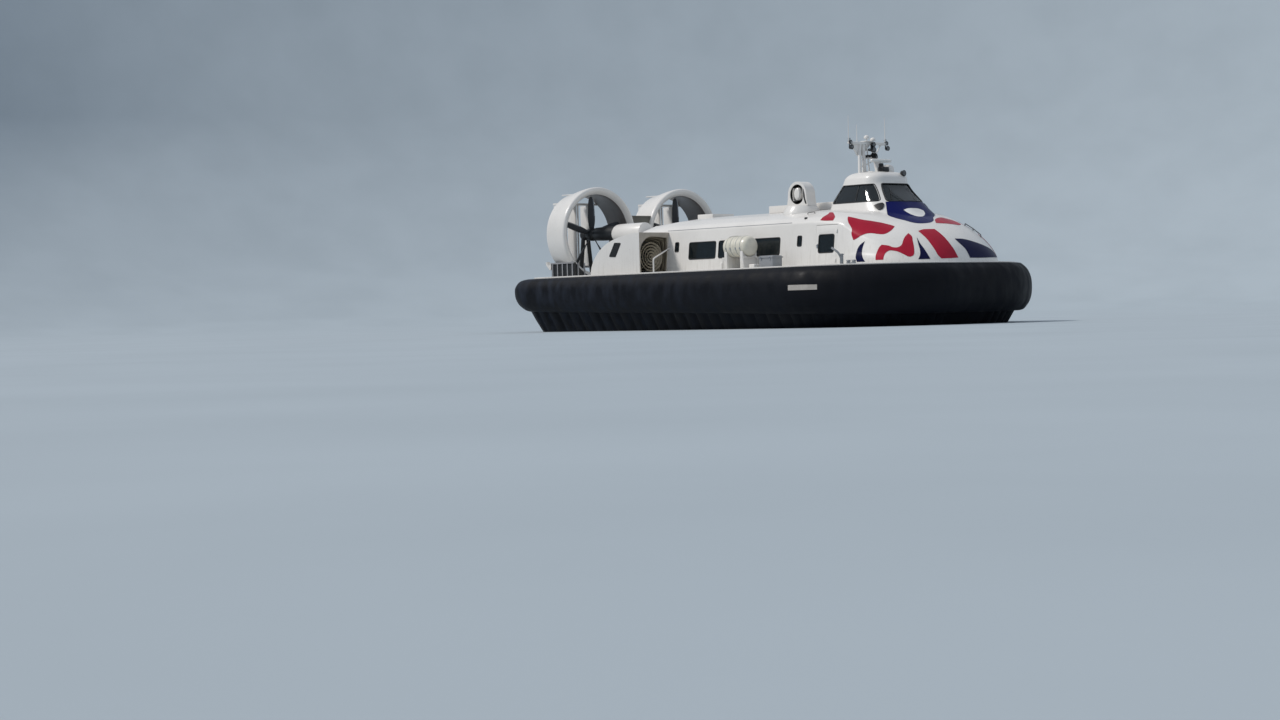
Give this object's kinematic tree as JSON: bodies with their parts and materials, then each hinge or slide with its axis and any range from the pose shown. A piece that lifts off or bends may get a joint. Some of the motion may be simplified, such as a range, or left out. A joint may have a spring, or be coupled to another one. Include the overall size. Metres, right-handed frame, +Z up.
{
  "type": "passenger hovercraft",
  "caption": "Passenger hovercraft on an inflated skirt, with a hollow cabin, raised wheelhouse, bow thrusters and ducted propellers with rudders aft.",
  "frame": {"origin": "on the ground plane at the skirt hem, below the middle of the overall box", "axes": "+X forward to the bow, +Y to port, +Z up"},
  "size_m": [23.7, 12.8, 8.78],
  "materials": {
    "white_paint": "gloss white marine paint on aluminium",
    "skirt_rubber": "matt rubber-coated fabric",
    "raft_alloy": "bare marine aluminium",
    "dark_paint": "satin dark grey paint",
    "grey_paint": "satin grey paint",
    "blade_composite": "dark composite",
    "glazing": "tinted glass",
    "seat_fabric": "blue woven cover",
    "dark_plastic": "black textured plastic",
    "engine_iron": "painted cast iron",
    "canister_plastic": "white glass-fibre moulding"
  },
  "bodies": {
    "craft": {"skirt_bag": "skirt_rubber", "skirt_fingers": "skirt_rubber", "raft": "raft_alloy", "fore_deck": "white_paint", "cabin": "white_paint", "nose": "white_paint", "cabin_seats": "seat_fabric", "wheelhouse": "white_paint", "wheelhouse_glazing": "glazing", "wheelhouse_fit_out": "dark_plastic", "engine_casing": "white_paint", "duct_bridge": "grey_paint", "roof_housing": "white_paint", "mast": "white_paint", "radar_pedestal": "dark_paint", "cabin_glazing_starboard": "glazing", "side_body_starboard": "white_paint", "engine_starboard": "engine_iron", "duct_starboard": "white_paint", "propeller_pylon_starboard": "dark_paint", "duct_plinth_starboard": "dark_paint", "rudder_frame_starboard": "white_paint", "thruster_foot_starboard": "white_paint", "liferaft_starboard": "canister_plastic", "liferaft_saddle_starboard": "white_paint", "deck_locker_starboard": "grey_paint", "cabin_glazing_port": "glazing", "side_body_port": "white_paint", "engine_port": "engine_iron", "duct_port": "white_paint", "propeller_pylon_port": "dark_paint", "duct_plinth_port": "dark_paint", "rudder_frame_port": "white_paint", "thruster_foot_port": "white_paint", "liferaft_port": "canister_plastic", "liferaft_saddle_port": "white_paint", "deck_locker_port": "grey_paint"},
    "propeller_starboard": {"propeller_starboard": "blade_composite"},
    "lift_fan_starboard": {"lift_fan_starboard": "dark_paint"},
    "bow_thruster_starboard": {"bow_thruster_starboard": "white_paint"},
    "door_starboard": {"door_starboard": "white_paint"},
    "rudder_outer_starboard": {"rudder_outer_starboard": "white_paint"},
    "rudder_middle_starboard": {"rudder_middle_starboard": "white_paint"},
    "rudder_inner_starboard": {"rudder_inner_starboard": "white_paint"},
    "propeller_port": {"propeller_port": "blade_composite"},
    "lift_fan_port": {"lift_fan_port": "dark_paint"},
    "bow_thruster_port": {"bow_thruster_port": "white_paint"},
    "door_port": {"door_port": "white_paint"},
    "rudder_outer_port": {"rudder_outer_port": "white_paint"},
    "rudder_middle_port": {"rudder_middle_port": "white_paint"},
    "rudder_inner_port": {"rudder_inner_port": "white_paint"},
    "radar_scanner": {"radar_scanner": "white_paint"}
  },
  "joints": [
    {"name": "propeller_spin_starboard", "type": "hinge", "parent": "craft", "child": "propeller_starboard", "pos_m": [-9.5, -2.6, 4.45], "axis": [1, 0, 0], "continuous": true},
    {"name": "lift_fan_spin_starboard", "type": "hinge", "parent": "craft", "child": "lift_fan_starboard", "pos_m": [-3.92, -4.43, 3.21], "axis": [1, 0, 0], "continuous": true},
    {"name": "bow_thruster_turn_starboard", "type": "hinge", "parent": "craft", "child": "bow_thruster_starboard", "pos_m": [3.55, -1.8, 5.3], "axis": [0, 0, 1], "range_deg": [-90, 90]},
    {"name": "door_swing_starboard", "type": "hinge", "parent": "craft", "child": "door_starboard", "pos_m": [7.272, -3.6602, 2.5], "axis": [0, 0.1077, 0.9942], "range_deg": [0, 90]},
    {"name": "rudder_turn_outer_starboard", "type": "hinge", "parent": "craft", "child": "rudder_outer_starboard", "pos_m": [-10.74, -3.4, 4.45], "axis": [0, 0, 1], "range_deg": [-30, 30]},
    {"name": "rudder_turn_middle_starboard", "type": "hinge", "parent": "craft", "child": "rudder_middle_starboard", "pos_m": [-10.74, -2.6, 4.45], "axis": [0, 0, 1], "range_deg": [-30, 30]},
    {"name": "rudder_turn_inner_starboard", "type": "hinge", "parent": "craft", "child": "rudder_inner_starboard", "pos_m": [-10.74, -1.8, 4.45], "axis": [0, 0, 1], "range_deg": [-30, 30]},
    {"name": "propeller_spin_port", "type": "hinge", "parent": "craft", "child": "propeller_port", "pos_m": [-9.5, 2.6, 4.45], "axis": [1, 0, 0], "continuous": true},
    {"name": "lift_fan_spin_port", "type": "hinge", "parent": "craft", "child": "lift_fan_port", "pos_m": [-3.92, 4.43, 3.21], "axis": [1, 0, 0], "continuous": true},
    {"name": "bow_thruster_turn_port", "type": "hinge", "parent": "craft", "child": "bow_thruster_port", "pos_m": [3.55, 1.8, 5.3], "axis": [0, 0, 1], "range_deg": [-90, 90]},
    {"name": "door_swing_port", "type": "hinge", "parent": "craft", "child": "door_port", "pos_m": [7.272, 3.6602, 2.5], "axis": [0, 0.1077, -0.9942], "range_deg": [0, 90]},
    {"name": "rudder_turn_outer_port", "type": "hinge", "parent": "craft", "child": "rudder_outer_port", "pos_m": [-10.74, 3.4, 4.45], "axis": [0, 0, 1], "range_deg": [-30, 30]},
    {"name": "rudder_turn_middle_port", "type": "hinge", "parent": "craft", "child": "rudder_middle_port", "pos_m": [-10.74, 2.6, 4.45], "axis": [0, 0, 1], "range_deg": [-30, 30]},
    {"name": "rudder_turn_inner_port", "type": "hinge", "parent": "craft", "child": "rudder_inner_port", "pos_m": [-10.74, 1.8, 4.45], "axis": [0, 0, 1], "range_deg": [-30, 30]},
    {"name": "radar_spin", "type": "hinge", "parent": "craft", "child": "radar_scanner", "pos_m": [6.48, 0, 6.85], "axis": [0, 0, 1], "continuous": true}
  ],
  "couplings": [
    {"joint": "rudder_turn_middle_starboard", "follows": "rudder_turn_outer_starboard", "ratio": 1},
    {"joint": "rudder_turn_inner_starboard", "follows": "rudder_turn_outer_starboard", "ratio": 1},
    {"joint": "rudder_turn_outer_port", "follows": "rudder_turn_outer_starboard", "ratio": 1},
    {"joint": "rudder_turn_middle_port", "follows": "rudder_turn_outer_starboard", "ratio": 1},
    {"joint": "rudder_turn_inner_port", "follows": "rudder_turn_outer_starboard", "ratio": 1}
  ]
}
